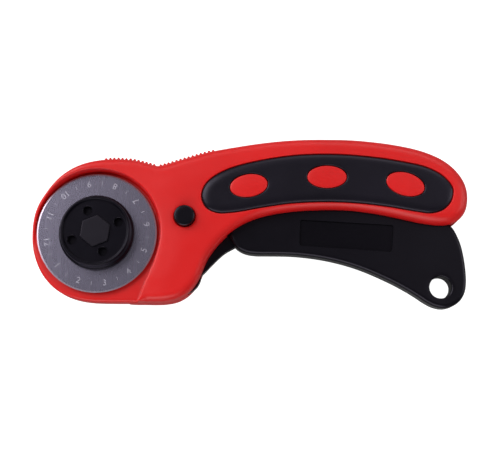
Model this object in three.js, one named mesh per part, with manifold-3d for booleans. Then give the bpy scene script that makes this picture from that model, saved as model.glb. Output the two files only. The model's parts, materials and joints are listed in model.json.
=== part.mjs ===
// A 45 mm rotary cutter for cloth: a red two-shell body with a squeeze lever that swings the blade out.
// Millimetres, +Z up. The cutter lies on its back: +X runs from the head to the end of the handle,
// +Z points out of the blade side, and the flat back rests on z = 0.
// Below, x and y are measured from the blade's axis at rest; the last lines move the origin to the
// middle of the bottom of the whole object.
import * as THREE from "three";
import { mergeVertices } from "three/addons/utils/BufferGeometryUtils.js";
import Module from "manifold-3d";

const wasm = await Module();
wasm.setup();

// ---- driving dimensions ----

const BODY_THICK = 19; // front face of the handle
const SPLIT = 9.5; // height of the joint between the two shells
const SPLIT_GAP = 0.15; // each shell stops this far from the joint
const EDGE = 2.5; // rounding of the handle's outer edges
const HEAD_BACK = 4; // the head is thinner than the handle: its back plane
const HEAD_FLOOR = 12.2; // the plate that the blade turns over
const HEAD_EDGE = 1.2;
const WALL = 2.3;
const GRIP_WALL = 2.8; // front and back walls, under the rubber inserts
const CLEAR = 0.3; // gap between pieces that touch
const RUN = 0.05; // radial running clearance of a shaft in its hole

const BLADE_R = 22.5;
const BLADE_HOLE_R = 4;
const BLADE_THICK = 0.3;
const BLADE_Z = 13.55; // underside of the blade
const BEVEL_WIDE = 1;

const RECESS = { x: 0.4, r: 23.6 }; // wall round the blade
// the wall's run down to the bottom edge
const RECESS_RIGHT = [[14.6, -32], [15.6, -26.3], [18.7, -18.4], [21.6, -11.6]];
const RECESS_BACKING = 2.2; // plastic left behind that wall
// side view of the wedge cut from the lip on the left
const LIP_RAMP = [[-5, 19.4], [-5, 24], [-30, 24], [-30, 10.4], [-24.6, 12.4]];
const HEAD_STEP_R = 26.2; // where the raised back of the head meets the handle
const PIVOT = { x: 31.2, y: -14.9, r: 2 };
const SWING = THREE.MathUtils.degToRad(12); // full squeeze of the lever
const LOCK = { x: 33.1, y: 5.5, capR: 3.85, stemR: 1.8, neckR: 1, endR: 2.8, travel: 2.5 };

const LEVER_LOW = 6.2; // the arm, between the head's two plates
const LEVER_HIGH = 10.2;
const TRIGGER_LOW = 5.5; // the thicker part under the fingers
const TRIGGER_HIGH = 13.5;
const HUB_R = 8; // of the arm, round the pivot and round the blade bolt
const HEAD_ROOM = { low: 5.9, high: 10.6 }; // between the two plates
const BOSS_TOP = BODY_THICK - 1.5; // bosses run a little way into the front wall
const PIN_TOP = 16;
const BOSS_R = 5.8; // carries the blade through the head's floor
const HANG_HOLE = { x: 128.4, y: -20.4, r: 4.1 };
const BOLT_ROOM_R = 7.4; // opening in the back that the bolt's head swings in
// finger dish round the end of the lock button
const BUTTON_SCOOP = [[0, -1], [6.4, -1], [5, 1.6], [4, 2.6], [0, 2.6]];

const POCKET = 1.3; // depth of the pockets that hold the rubber inserts
const INSERT_PROUD = 0.5;

const BOLT_R = BLADE_HOLE_R - RUN;
const BOLT_HEAD_R = 6;
const BOLT_TOP = 17.2;
const KNOB_LOW = 14.05;
const KNOB_R = 14.1;
const KNOB_FACE = 18.6;
const KNOB_TOP = 19.4;
const HEX_R = 6;
const HOLES = [
  { turn: 21, at: 9.2 }, { turn: 111, at: 8.2 }, { turn: 201, at: 9.2 }, { turn: 291, at: 8.2 },
];

const SCREW = { headR: 2, headTall: 1.3, shankR: 1, bossR: 2.7, sink: 1 };
const SCREWS = [
  { x: 2, y: 20.3, back: HEAD_BACK, tip: 11.2 },
  { x: -13, y: -14.6, back: HEAD_BACK, tip: 11.2 },
  { x: 29, y: 20, back: 0, tip: 15 },
  { x: 44, y: 27.3, back: 0, tip: 15 },
  { x: 96, y: 31.7, back: 0, tip: 15 },
  { x: 133.3, y: 21.1, back: 0, tip: 15 },
];

const SPRING = { x: 68, low: 11, high: 31.6, r: 3.2, wire: 0.4, turns: 7 };
// the two ribs that keep its end in place
const SPRING_RIB = { off: 4.6, half: 0.6, low: 1.5, y: [27, 33.6] };

// Outline of both shells, anticlockwise from the left of the head.
const BODY = [
  [-24.6, 0.2], [-24.4, -4.8], [-23.2, -9.8], [-20.8, -15], [-16.6, -20], [-11.8, -23.2], [-6.5, -25],
  [-1, -25.8], [6, -26], [16, -26], [26, -25.9], [31.4, -24.5], [35.6, -21.3], [38.7, -16.6],
  [41, -10.8], [44.9, -5], [50, 0], [55.8, 3.7], [62, 6], [70, 7.6], [80, 8.5], [93.8, 8.5],
  [104.3, 7.2], [113.3, 5.4], [121.4, 3.6], [128.4, 2.8], [133.6, 3.6], [137.4, 6.7], [139, 12.2],
  [138.3, 18], [135.2, 23.2], [130.8, 27.1], [125.4, 29.9], [119.6, 31.8], [112, 33.4], [104, 34.5],
  [95.9, 35.2], [87.7, 35.4], [78, 35.3], [68.7, 34.7], [59.7, 33.6], [51, 32.2], [45.5, 31.2],
  [41, 30.2], [36.5, 28.9], [32, 27.6], [28, 26.4], [25, 25.5], [23, 25.1], [21, 25.5], [18.5, 26.1],
  [14, 27.2], [10, 27.8], [6.5, 27.9], [3, 27.7], [-1.4, 27], [-6.3, 25.6], [-10.9, 23.3],
  [-15.3, 19.9], [-19.6, 14.8], [-22.7, 9.9], [-24.1, 5.2],
];
const BODY_STEPS = 100;
const INSIDE_STEPS = 56; // the hollows need no finer walk

// Outline of the rubber inserts.
const GRIP = [
  [39.5, 13], [40.1, 10.6], [41.8, 8.4], [44.6, 7.1], [48.1, 6.9], [53.7, 7.5], [61.9, 9], [72.3, 10.5],
  [83.5, 11.1], [97, 10.7], [110.5, 9.05], [119.4, 7.45], [125.2, 6.9], [128.6, 7.8], [131.1, 9.8],
  [132.7, 12.4], [133.1, 15], [132.5, 17.4], [130.2, 20.1], [126.4, 22.7], [122, 24.5], [115.3, 26],
  [108.5, 27.2], [97.3, 28.5], [87.4, 29], [76.2, 28.7], [66.9, 27.6], [58.5, 26], [50.8, 23.9],
  [45.2, 21.3], [41.7, 18.6], [40, 15.8],
];
const GRIP_STEPS = 44;
const OVALS = [
  { x: 57, y: 17.05, rx: 7.1, ry: 4.35, turn: 9 },
  { x: 86.2, y: 20.35, rx: 7.4, ry: 4.3, turn: 0 },
  { x: 115.4, y: 17.6, rx: 7.3, ry: 4.4, turn: -16 },
];

// Outline of the finger part of the lever.
const TRIGGER = [
  [49.7, 0.6], [50.6, -3.2], [52.9, -5.9], [55.7, -7.3], [59.5, -7.95], [65, -8], [74.8, -8.3],
  [86.1, -9.85], [97.4, -12.9], [108.7, -17.7], [116.2, -21.7], [120.6, -24.5], [124, -26.7],
  [127.4, -28], [130.6, -28.1], [134.3, -26.6], [136.5, -24.3], [137.7, -21.6], [138.15, -18.2],
  [138.1, -14.6], [137.7, -10.3], [136.8, -5.2], [135.75, -2], [134.2, 1.3], [131.8, 4], [127, 4.9],
  [118, 6.6], [105, 8.8], [92, 10.1], [78, 10.2], [64, 9], [54.5, 6.2], [50.8, 3.6],
];
const TRIGGER_STEPS = 60;
// Rest of the arm's outline, from below the hub round to the top of the blade boss.
const ARM_RIM = [
  [40.6, -14.2], [43.2, -11.4], [47.7, -7.2], [53, -4.8], [60, -3], [60, 7], [52, 9.4], [43, 11],
  [34, 11.6], [24, 10.4], [13, 8.8],
];
const PANEL = [[76.3, 5.1], [111.4, 3], [110.6, -7.2], [75.9, -4.8]]; // blank sunk panel
const PANEL_DEEP = 0.5;

// What is cleared from the shells for the lever: round its arm, and under the fingers.
const ARM_GAP = [[33, -30], [33, -18], [38, -6], [54, 9], [62, 9], [62, -4], [44, -20], [42, -30]];
const TRIGGER_GAP = [
  [43, 0], [47, 9.5], [62, 11], [90, 12.5], [120, 10], [136.6, 10], [137.4, 7.4], [142, 7.4], [142, -4],
  [52, -8],
];

// Two stretches of thumb ridges on the top edge, by x.
const RIDGES = [{ from: 3.2, to: 20.8, count: 13 }, { from: 24, to: 43.8, count: 14 }];
const RIDGE = { tall: 1.1, half: 0.6, root: 0.6, low: 4.9, high: 14.4 };

// ---- materials ----

function finish(color, roughness, metalness = 0) {
  return new THREE.MeshStandardMaterial({ color, roughness, metalness });
}

const RED = finish(0xd03030, 0.38);
const RUBBER = finish(0x1e1c22, 0.6);
const BLACK = finish(0x17161a, 0.42);
const STEEL = finish(0x8b8894, 0.32, 1);
const BLADE_STEEL = finish(0x76727f, 0.3, 1);

// ---- small tools ----

// A closed geometry as a manifold-3d solid.
function solid(geometry) {
  const bare = new THREE.BufferGeometry();
  bare.setAttribute("position", geometry.getAttribute("position"));
  if (geometry.index) bare.setIndex(geometry.index);
  const merged = mergeVertices(bare, 1e-4);
  return new wasm.Manifold(
    new wasm.Mesh({
      numProp: 3,
      vertProperties: new Float32Array(merged.attributes.position.array),
      triVerts: new Uint32Array(merged.index.array),
    }),
  );
}

const union = (list) => list.reduce((a, b) => a.add(b));
const plane = ([x, y]) => new THREE.Vector2(x, y);

// A solid as a named mesh.
function mesh(name, body, material) {
  const made = body.getMesh();
  const geometry = new THREE.BufferGeometry();
  geometry.setAttribute("position", new THREE.BufferAttribute(made.vertProperties, made.numProp));
  geometry.setIndex(new THREE.BufferAttribute(made.triVerts, 1));
  const flat = geometry.toNonIndexed();
  flat.computeVertexNormals();
  const result = new THREE.Mesh(flat, material);
  result.name = name;
  return result;
}

// An even walk round a smooth closed curve through the points.
function walk(points, steps) {
  const through = points.map(([x, y]) => new THREE.Vector3(x, y, 0));
  const curve = new THREE.CatmullRomCurve3(through, true, "centripetal");
  curve.arcLengthDivisions = 1200;
  return curve.getSpacedPoints(steps).slice(0, -1).map((p) => new THREE.Vector2(p.x, p.y));
}

// The same anticlockwise walk, moved inwards by a distance.
function inset(ring, distance) {
  return ring.map((p, i) => {
    const before = ring.at(i - 1);
    const after = ring[(i + 1) % ring.length];
    const along = after.clone().sub(before).normalize();
    return new THREE.Vector2(p.x - along.y * distance, p.y + along.x * distance);
  });
}

const turned = (p, angle) => p.clone().rotateAround(new THREE.Vector2(PIVOT.x, PIVOT.y), angle);

// A straight prism of a ring of points from one height to another.
function prism(ring, low, high) {
  const straight = { depth: high - low, bevelEnabled: false };
  return solid(new THREE.ExtrudeGeometry(new THREE.Shape(ring), straight).translate(0, 0, low));
}

// The same with both end edges rounded.
function rounded(ring, low, high, edge, segments = 2) {
  const geometry = new THREE.ExtrudeGeometry(new THREE.Shape(ring), {
    depth: high - low - 2 * edge,
    bevelThickness: edge,
    bevelSize: edge,
    bevelOffset: -edge,
    bevelSegments: segments,
  });
  return solid(geometry.translate(0, 0, low + edge));
}

function disc(x, y, r, low, high, sides = 24) {
  const geometry = new THREE.CylinderGeometry(r, r, high - low, sides);
  return solid(geometry.rotateX(Math.PI / 2).translate(x, y, (low + high) / 2));
}

function block(x, y, z) {
  const geometry = new THREE.BoxGeometry(x[1] - x[0], y[1] - y[0], z[1] - z[0]);
  return solid(geometry.translate((x[0] + x[1]) / 2, (y[0] + y[1]) / 2, (z[0] + z[1]) / 2));
}

// A solid of revolution about a vertical axis; the profile holds [radius, height] pairs.
function lathe(profile, sides, x = 0, y = 0) {
  const points = profile.map(([r, z]) => new THREE.Vector2(r, z));
  const geometry = new THREE.LatheGeometry(points, sides);
  return solid(geometry.rotateX(Math.PI / 2).translate(x, y, 0));
}

function ring(profile, sides, x = 0, y = 0) {
  return lathe([...profile, profile[0]], sides, x, y);
}

function ellipse({ x, y, rx, ry, turn }, grow) {
  const tilt = THREE.MathUtils.degToRad(turn);
  const curve = new THREE.EllipseCurve(x, y, rx + grow, ry + grow, 0, 2 * Math.PI, false, tilt);
  return curve.getPoints(20).slice(0, -1);
}

function arc(x, y, r, from, to, steps) {
  const [a, b] = [from, to].map(THREE.MathUtils.degToRad);
  return new THREE.EllipseCurve(x, y, r, r, a, b, b < a).getPoints(steps);
}

// The room a round pin on the lever needs as the lever swings.
function sweep(r, low, high) {
  const steps = 2;
  const at = (i) => turned(new THREE.Vector2(0, 0), (SWING * i) / steps);
  const discs = [];
  for (let i = 0; i <= steps; i++) discs.push(disc(at(i).x, at(i).y, r, low, high));
  for (let i = 0; i < steps; i++) {
    const across = at(i + 1).clone().sub(at(i)).normalize().rotateAround(new THREE.Vector2(), Math.PI / 2);
    const side = across.multiplyScalar(r);
    const corners = [at(i).add(side), at(i).sub(side), at(i + 1).sub(side), at(i + 1).add(side)];
    discs.push(prism(corners, low, high));
  }
  return union(discs);
}

// ---- the shells ----

const body = walk(BODY, BODY_STEPS);
const inside = walk(BODY, INSIDE_STEPS);
const shallowRing = inset(inside, WALL);
const deepRing = inset(inside, WALL + 0.1);
const grip = walk(GRIP, GRIP_STEPS);

// The space over the blade: round at the top and right, open at the bottom left.
function recess(grow, low, high) {
  const wall = arc(RECESS.x, 0, RECESS.r + grow, -14, 196, 36);
  const left = [[-30, -9], [-30, -32]];
  const right = RECESS_RIGHT.map(([x, y]) => [x + grow, y]);
  return prism([...wall, ...[...left, ...right].map(plane)], low, high);
}

// The head's back plane is higher than the handle's; this is what lies under it.
function headStep(low, high) {
  const edge = arc(RECESS.x, 0, HEAD_STEP_R, -62, 58, 26);
  const open = [[10, 34], [-32, 34], [-32, -32], [10, -32]];
  return prism([...edge, ...open.map(plane)], low, high);
}

// The wedge that lets the lip round the blade run down to the floor on the left.
function lipRamp() {
  const side = new THREE.Shape(LIP_RAMP.map(plane));
  const geometry = new THREE.ExtrudeGeometry(side, { depth: 70, bevelEnabled: false });
  return solid(geometry.rotateX(Math.PI / 2).translate(0, 35, 0));
}

// Small teeth across the top edge, kept to one shell's heights.
function ridges(low, high) {
  const teeth = [];
  for (const { from, to, count } of RIDGES) {
    for (let i = 0; i < count; i++) {
      const x = from + ((to - from) * i) / (count - 1);
      const at = body.findIndex((p, k) => p.y > 20 && (p.x - x) * (body[(k + 1) % body.length].x - x) <= 0);
      const [p, q] = [body[at], body[(at + 1) % body.length]];
      const along = q.clone().sub(p).normalize();
      const out = new THREE.Vector2(along.y, -along.x);
      const foot = p.clone().lerp(q, (x - p.x) / (q.x - p.x)).addScaledVector(out, -RIDGE.root);
      const half = along.clone().multiplyScalar(RIDGE.half);
      const tip = foot.clone().addScaledVector(out, RIDGE.root + RIDGE.tall);
      teeth.push(prism([foot.clone().sub(half), tip, foot.clone().add(half)], low, high));
    }
  }
  return union(teeth);
}

// The gap along the underside that the lever leaves the body by.
function leverSlot() {
  return union([
    disc(PIVOT.x, PIVOT.y, HUB_R + CLEAR, HEAD_ROOM.low, HEAD_ROOM.high, 40),
    prism(ARM_GAP.map(plane), HEAD_ROOM.low, HEAD_ROOM.high),
    prism(TRIGGER_GAP.map(plane), TRIGGER_LOW - CLEAR, TRIGGER_HIGH + CLEAR),
  ]);
}

const slot = leverSlot();

function frontShell() {
  const low = SPLIT + SPLIT_GAP;
  const cutLow = block([-40, 150], [-40, 50], [-5, low]);
  const handle = rounded(body, 0, BODY_THICK, EDGE)
    .subtract(recess(0, HEAD_FLOOR - HEAD_EDGE, BODY_THICK + 1))
    .subtract(lipRamp());
  const floor = rounded(body, 2, HEAD_FLOOR, HEAD_EDGE);
  const shallow = prism(shallowRing, low - 1, HEAD_ROOM.high);
  const backed = recess(RECESS_BACKING, 0, BODY_THICK);
  const deep = prism(deepRing, low - 1, BODY_THICK - GRIP_WALL).subtract(backed);
  const bosses = union([
    disc(LOCK.x, LOCK.y, LOCK.capR + 2, HEAD_ROOM.high, BOSS_TOP),
    disc(PIVOT.x, PIVOT.y, PIVOT.r + 2, HEAD_ROOM.high, BOSS_TOP),
    ...SCREWS.map((s) => disc(s.x, s.y, SCREW.bossR, low, s.back ? HEAD_FLOOR - 0.8 : BOSS_TOP, 12)),
  ]);
  const cuts = union([
    disc(LOCK.x, LOCK.y, LOCK.capR + RUN, 5, 25, 32),
    disc(PIVOT.x, PIVOT.y, PIVOT.r + RUN, 5, PIN_TOP + 0.1),
    ...SCREWS.map((s) => disc(s.x, s.y, SCREW.shankR + RUN, 5, s.tip + 0.3, 12)),
    sweep(BOSS_R + 0.5, 8, 14),
    prism(inset(grip, -CLEAR), BODY_THICK - POCKET, BODY_THICK + 2),
    slot,
  ]);
  const standing = (o) => rounded(ellipse(o, 0), BODY_THICK - 2.2, BODY_THICK + 0.4, 0.35, 1);
  const ovals = union(OVALS.map(standing));
  return handle
    .add(floor)
    .subtract(shallow)
    .subtract(deep)
    .add(bosses)
    .subtract(cuts)
    .add(ovals)
    .add(ridges(low, RIDGE.high))
    .subtract(cutLow);
}

function rearShell() {
  const high = SPLIT - SPLIT_GAP;
  const cutHigh = block([-40, 150], [-40, 50], [high, 30]);
  const handle = rounded(body, 0, BODY_THICK, EDGE).subtract(headStep(-1, HEAD_BACK + HEAD_EDGE));
  const head = rounded(body, HEAD_BACK, BODY_THICK - 3, HEAD_EDGE);
  const shallow = prism(shallowRing, HEAD_ROOM.low, high + 1);
  const stepBacking = disc(RECESS.x, 0, HEAD_STEP_R + 2.4, -2, 13, 40);
  const thick = block([22, 150], [-40, 50], [-1, 12]).subtract(stepBacking);
  const deep = prism(deepRing, GRIP_WALL, high + 1).intersect(thick);
  const { off, half, y: ribY, low: ribLow } = SPRING_RIB;
  const springRib = (x) => block([x - half, x + half], ribY, [ribLow, high]);
  const bosses = union([
    disc(LOCK.x, LOCK.y, 6.2, 1, HEAD_ROOM.low),
    disc(PIVOT.x, PIVOT.y, PIVOT.r + 2, 1, HEAD_ROOM.low),
    ...SCREWS.map((s) => disc(s.x, s.y, SCREW.bossR, s.back + 1.4, high, 12)),
    springRib(SPRING.x - off),
    springRib(SPRING.x + off),
  ]);
  const headEnd = SCREW.sink + SCREW.headTall + RUN;
  const cuts = union([
    lathe(BUTTON_SCOOP, 24, LOCK.x, LOCK.y),
    disc(LOCK.x, LOCK.y, LOCK.endR + RUN, -1, 8, 20),
    disc(PIVOT.x, PIVOT.y, PIVOT.r + RUN, GRIP_WALL, 12),
    ...SCREWS.map((s) => disc(s.x, s.y, SCREW.shankR + 0.15, -1, 12, 12)),
    ...SCREWS.map((s) => disc(s.x, s.y, SCREW.headR + 0.2, -1, s.back + headEnd, 16)),
    sweep(BOLT_ROOM_R, 0, 6.5),
    prism(inset(grip, -CLEAR), -1, POCKET),
    slot,
  ]);
  const ovals = union(OVALS.map((o) => prism(ellipse(o, 0), 0.15, 2.2)));
  return handle
    .add(head)
    .subtract(shallow)
    .subtract(deep)
    .add(bosses)
    .subtract(cuts)
    .add(ovals)
    .add(ridges(RIDGE.low, high))
    .subtract(cutHigh);
}

function gripInsert(low, high, edge) {
  const pad = rounded(grip, low, high, edge);
  return OVALS.reduce((made, o) => made.subtract(prism(ellipse(o, 0.2), low - 1, high + 1)), pad);
}

// ---- the lever and its lock ----

// Where the lock button meets the lever: a round seat at each end of a narrow arc.
function lockSlot(low, high) {
  const centre = new THREE.Vector2(PIVOT.x, PIVOT.y);
  const seat = new THREE.Vector2(LOCK.x, LOCK.y);
  const far = turned(seat, -SWING);
  const seats = [seat, far].map((p) => disc(p.x, p.y, LOCK.stemR + 0.15, low, high, 24));
  const reach = seat.distanceTo(centre);
  const angle = THREE.MathUtils.radToDeg(seat.clone().sub(centre).angle());
  const half = LOCK.neckR + 0.2;
  const swing = THREE.MathUtils.radToDeg(SWING);
  const outer = arc(centre.x, centre.y, reach + half, angle - swing, angle, 6);
  const back = arc(centre.x, centre.y, reach - half, angle, angle - swing, 6);
  return union([...seats, prism([...outer, ...back], low, high)]);
}

function triggerLever() {
  const heading = THREE.MathUtils.radToDeg(new THREE.Vector2(PIVOT.x, PIVOT.y).angle());
  const outline = [
    ...arc(0, 0, HUB_R, 70, heading - 90, 12),
    ...arc(PIVOT.x, PIVOT.y, HUB_R, heading - 90, heading + 20, 10),
    ...ARM_RIM.map(plane),
  ];
  const arm = prism(outline, LEVER_LOW, LEVER_HIGH);
  const trigger = rounded(walk(TRIGGER, TRIGGER_STEPS), TRIGGER_LOW, TRIGGER_HIGH, 1.4);
  const seatPost = solid(new THREE.CylinderGeometry(2, 2, 7, 14).translate(SPRING.x, 10.6, SPLIT));
  return union([arm, trigger, disc(0, 0, BOSS_R, LEVER_LOW, BLADE_Z - RUN), seatPost])
    .subtract(disc(0, 0, BOLT_R + 0.1, 0, 20, 32))
    .subtract(disc(PIVOT.x, PIVOT.y, PIVOT.r + RUN, 0, 20, 32))
    .subtract(disc(HANG_HOLE.x, HANG_HOLE.y, HANG_HOLE.r, 0, 20, 36))
    .subtract(prism(PANEL.map(plane), TRIGGER_HIGH - PANEL_DEEP, 20))
    .subtract(lockSlot(0, 12));
}

function returnSpring() {
  class Coil extends THREE.Curve {
    getPoint(t, target = new THREE.Vector3()) {
      const turn = 2 * Math.PI * SPRING.turns * t;
      const y = THREE.MathUtils.lerp(SPRING.low, SPRING.high, t);
      return target.set(SPRING.x + SPRING.r * Math.cos(turn), y, SPLIT + SPRING.r * Math.sin(turn));
    }
  }
  const section = new THREE.Shape(arc(0, 0, SPRING.wire, 0, 360, 5).slice(0, -1));
  const wire = { steps: 8 * SPRING.turns, extrudePath: new Coil(), bevelEnabled: false };
  return solid(new THREE.ExtrudeGeometry(section, wire));
}

function lockButton() {
  const { capR, stemR, neckR } = LOCK;
  const top = BODY_THICK + LOCK.travel;
  const profile = [
    [0, 3.6], [neckR, 3.6], [neckR, 10.6], [stemR, 10.6], [stemR, 14.2],
    [capR, 14.2], [capR, top - 0.5], [capR - 0.5, top], [0, top],
  ];
  return lathe(profile, 24, LOCK.x, LOCK.y);
}

// The disc on the back end of the lock button, to push it forward again.
function lockButtonEnd() {
  const r = LOCK.endR;
  const bore = LOCK.neckR + RUN;
  const profile = [[0, 2.75], [r - 0.4, 2.75], [r, 3.1], [r, 5.5], [bore, 5.5], [bore, 3.5], [0, 3.5]];
  return lathe(profile, 20, LOCK.x, LOCK.y);
}

// ---- blade stack ----

function blade() {
  const [low, high] = [BLADE_Z, BLADE_Z + BLADE_THICK];
  const rim = BLADE_R - BEVEL_WIDE;
  const edge = [BLADE_R, (low + high) / 2];
  return ring([[BLADE_HOLE_R, low], [rim, low], edge, [rim, high], [BLADE_HOLE_R, high]], 56);
}

function bladeBolt() {
  const head = [[0, 4.3], [BOLT_HEAD_R - 0.4, 4.3], [BOLT_HEAD_R, 4.7], [BOLT_HEAD_R, 5.6]];
  const shank = [[BOLT_R, 5.6], [BOLT_R, BOLT_TOP - 0.5], [BOLT_R - 0.5, BOLT_TOP], [0, BOLT_TOP]];
  return lathe([...head, ...shank], 24);
}

const boltWasher = () => ring([[BOLT_R + 0.1, 5.65], [6.9, 5.65], [6.9, 6.15], [BOLT_R + 0.1, 6.15]], 24);

const springWasher = () =>
  ring([[BOLT_R + 0.2, 14.6], [7.6, 13.95], [7.6, 14.25], [BOLT_R + 0.2, 14.9]], 24);

function hexagon(r, low, high, turn) {
  return prism(arc(0, 0, r, turn, turn + 360, 6).slice(0, -1), low, high);
}

function bladeNut() {
  const outer = lathe(
    [[0, KNOB_LOW], [KNOB_R - 0.5, KNOB_LOW], [KNOB_R, KNOB_LOW + 0.5], [KNOB_R, 15.5], [13.4, 16.1],
      [13, 18.9], [12.6, KNOB_TOP], [12.1, KNOB_TOP], [11.7, KNOB_FACE], [0, KNOB_FACE]],
    40,
  );
  const holes = HOLES.map(({ turn, at }) => {
    const angle = THREE.MathUtils.degToRad(turn);
    return disc(at * Math.cos(angle), at * Math.sin(angle), 1.75, 16.6, 20, 14);
  });
  return outer
    .add(hexagon(HEX_R, KNOB_FACE - 0.5, KNOB_TOP - 0.1, 22))
    .subtract(union(holes))
    .subtract(disc(0, 0, 8.2, 13, 15.05))
    .subtract(hexagon(6.1, 14, 17.6, 22));
}

const nutInsert = () => hexagon(6, 15.1, 17.4, 22).subtract(disc(0, 0, BOLT_R + RUN, 10, 20, 32));

function shellScrew({ x, y, back, tip }) {
  const low = back + SCREW.sink;
  const under = low + SCREW.headTall;
  return lathe(
    [[0, low + 0.5], [0.9, low], [SCREW.headR - 0.3, low], [SCREW.headR, low + 0.4], [SCREW.headR, under],
      [SCREW.shankR, under], [SCREW.shankR, tip - 0.8], [0, tip]],
    12,
    x,
    y,
  );
}

// ---- the assembly ----

const cutter = new THREE.Group();
cutter.add(
  mesh("front_shell", frontShell(), RED),
  mesh("rear_shell", rearShell(), RED),
  mesh("front_grip_insert", gripInsert(BODY_THICK - POCKET + 0.05, BODY_THICK + INSERT_PROUD, 0.5), RUBBER),
  mesh("rear_grip_insert", gripInsert(0.2, POCKET - 0.05, 0.3), RUBBER),
  mesh("trigger_lever", triggerLever(), BLACK),
  mesh("pivot_pin", disc(PIVOT.x, PIVOT.y, PIVOT.r, GRIP_WALL + 0.1, PIN_TOP, 32), STEEL),
  mesh("return_spring", returnSpring(), STEEL),
  mesh("lock_button", lockButton(), BLACK),
  mesh("lock_button_end", lockButtonEnd(), BLACK),
  mesh("blade", blade(), BLADE_STEEL),
  mesh("blade_bolt", bladeBolt(), STEEL),
  mesh("bolt_washer", boltWasher(), STEEL),
  mesh("spring_washer", springWasher(), STEEL),
  mesh("blade_nut", bladeNut(), BLACK),
  mesh("nut_insert", nutInsert(), STEEL),
);
SCREWS.forEach((screw, i) => cutter.add(mesh(`shell_screw_${i + 1}`, shellScrew(screw), STEEL)));

const box = new THREE.Box3().setFromObject(cutter);
cutter.position.set(-(box.min.x + box.max.x) / 2, -(box.min.y + box.max.y) / 2, -box.min.z);

export default cutter;
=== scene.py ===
"""The looks of a rotary cutter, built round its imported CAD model.

Outlines come from cuts through the CAD nodes, and heights from their boxes, so that every piece stays on the
frame. Lengths are in millimetres until a mesh is made, and Blender's own objects are in metres.
"""

import json
import math

import bmesh
import bpy
import numpy as np
from mathutils import Matrix, Vector, geometry
from mathutils.kdtree import KDTree


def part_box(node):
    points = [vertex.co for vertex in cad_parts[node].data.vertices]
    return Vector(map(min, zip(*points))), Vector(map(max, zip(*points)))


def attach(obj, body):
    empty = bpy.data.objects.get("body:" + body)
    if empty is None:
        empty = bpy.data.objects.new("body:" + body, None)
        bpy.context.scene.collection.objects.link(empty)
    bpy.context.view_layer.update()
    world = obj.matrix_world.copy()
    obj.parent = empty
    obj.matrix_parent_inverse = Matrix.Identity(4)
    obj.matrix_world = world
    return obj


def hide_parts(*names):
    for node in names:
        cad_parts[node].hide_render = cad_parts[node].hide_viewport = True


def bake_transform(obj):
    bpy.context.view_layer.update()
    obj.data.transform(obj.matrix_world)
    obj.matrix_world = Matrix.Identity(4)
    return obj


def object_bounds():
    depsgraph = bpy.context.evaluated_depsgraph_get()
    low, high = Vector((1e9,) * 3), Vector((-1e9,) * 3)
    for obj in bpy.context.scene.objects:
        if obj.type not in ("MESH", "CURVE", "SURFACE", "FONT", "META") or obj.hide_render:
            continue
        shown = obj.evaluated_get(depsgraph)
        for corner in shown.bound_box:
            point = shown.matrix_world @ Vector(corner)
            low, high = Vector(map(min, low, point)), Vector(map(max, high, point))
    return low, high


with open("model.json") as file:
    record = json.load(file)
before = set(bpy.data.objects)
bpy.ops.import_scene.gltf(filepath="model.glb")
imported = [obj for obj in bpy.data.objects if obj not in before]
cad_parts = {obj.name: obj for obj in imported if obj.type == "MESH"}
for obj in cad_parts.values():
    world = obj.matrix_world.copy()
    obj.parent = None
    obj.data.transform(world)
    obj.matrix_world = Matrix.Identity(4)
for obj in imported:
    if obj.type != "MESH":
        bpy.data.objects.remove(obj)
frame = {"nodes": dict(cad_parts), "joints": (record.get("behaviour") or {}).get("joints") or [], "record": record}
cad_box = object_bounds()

MM = 0.001
JOINTS = {joint["name"]: joint for joint in frame["joints"]}
OPENINGS = {opening["name"]: opening for opening in frame["record"]["physics"]["openings"]}


def low_of(node):
    return np.array(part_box(node)[0]) / MM


def high_of(node):
    return np.array(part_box(node)[1]) / MM


def middle_of(node):
    return (low_of(node) + high_of(node)) / 2


def heights(node):
    return low_of(node)[2], high_of(node)[2]


def half_width(node):
    return (high_of(node)[0] - low_of(node)[0]) / 2


# ---- sizes read from the frame ----

BLADE_AT = np.array(JOINTS["blade_spin"]["pos_m"][:2]) / MM
PIVOT_AT = np.array(JOINTS["lever_squeeze"]["pos_m"][:2]) / MM
SWING = math.radians(JOINTS["lever_squeeze"]["range_deg"][1])
LOCK_AT = middle_of("lock_button")[:2]
BLADE_R = half_width("blade")
BLADE_TOP = high_of("blade")[2]
LOCK_R = half_width("lock_button")
LOCK_TRAVEL = -JOINTS["lock_slide"]["range_m"][0] / MM
BODY_TOP = high_of("lock_button")[2] - LOCK_TRAVEL
SPLIT = (low_of("front_shell")[2] + high_of("rear_shell")[2]) / 2
HANG_AT = np.array(OPENINGS["hang_hole"]["box_m"]).mean(0)[:2] / MM
PIN_LOW, PIN_HIGH = heights("pivot_pin")
LEVER_LOW, LEVER_HIGH = heights("trigger_lever")
SCREWS = sorted(name for name in frame["nodes"] if name.startswith("shell_screw"))

# ---- sizes of the visible finish ----

FLOOR_TOP = BLADE_TOP - 1.65  # plate under the blade
HEAD_BACK = 4.0  # back of the head, which is thinner than the handle
SEAM = 0.05  # half the gap left between the shells
EDGE_HEAD = 2.7  # rounding of the outer edge at the head
EDGE_END = 3.9  # at the end of the handle
EDGE_FLOOR = 1.15  # and on the head's plate
EDGE_ROWS = (0.1, 0.3, 0.6, 1.0, 1.5, 2.1, 2.8, 3.6, 4.4)  # where rings follow the rounding, in from the edge
CREST = 0.7  # rounding of small edges round the recess
FOOT = 0.85  # fillet where the wall round the blade meets the plate
DRAFT = 0.12  # horizontal run of a moulded wall
CROWN = 0.25  # fall of the front face towards its edge
DIP = 0.5  # and towards the recess
LIP_FALLS = (95, 200)  # degrees round the blade over which the lip sinks to the plate
POCKET = 1.3  # depth of the pocket for a grip insert
INSERT_PROUD = 0.5  # how far the front insert stands out of it
INSERT_EDGE = 0.35  # rounding of the inserts and ovals where they meet
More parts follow.
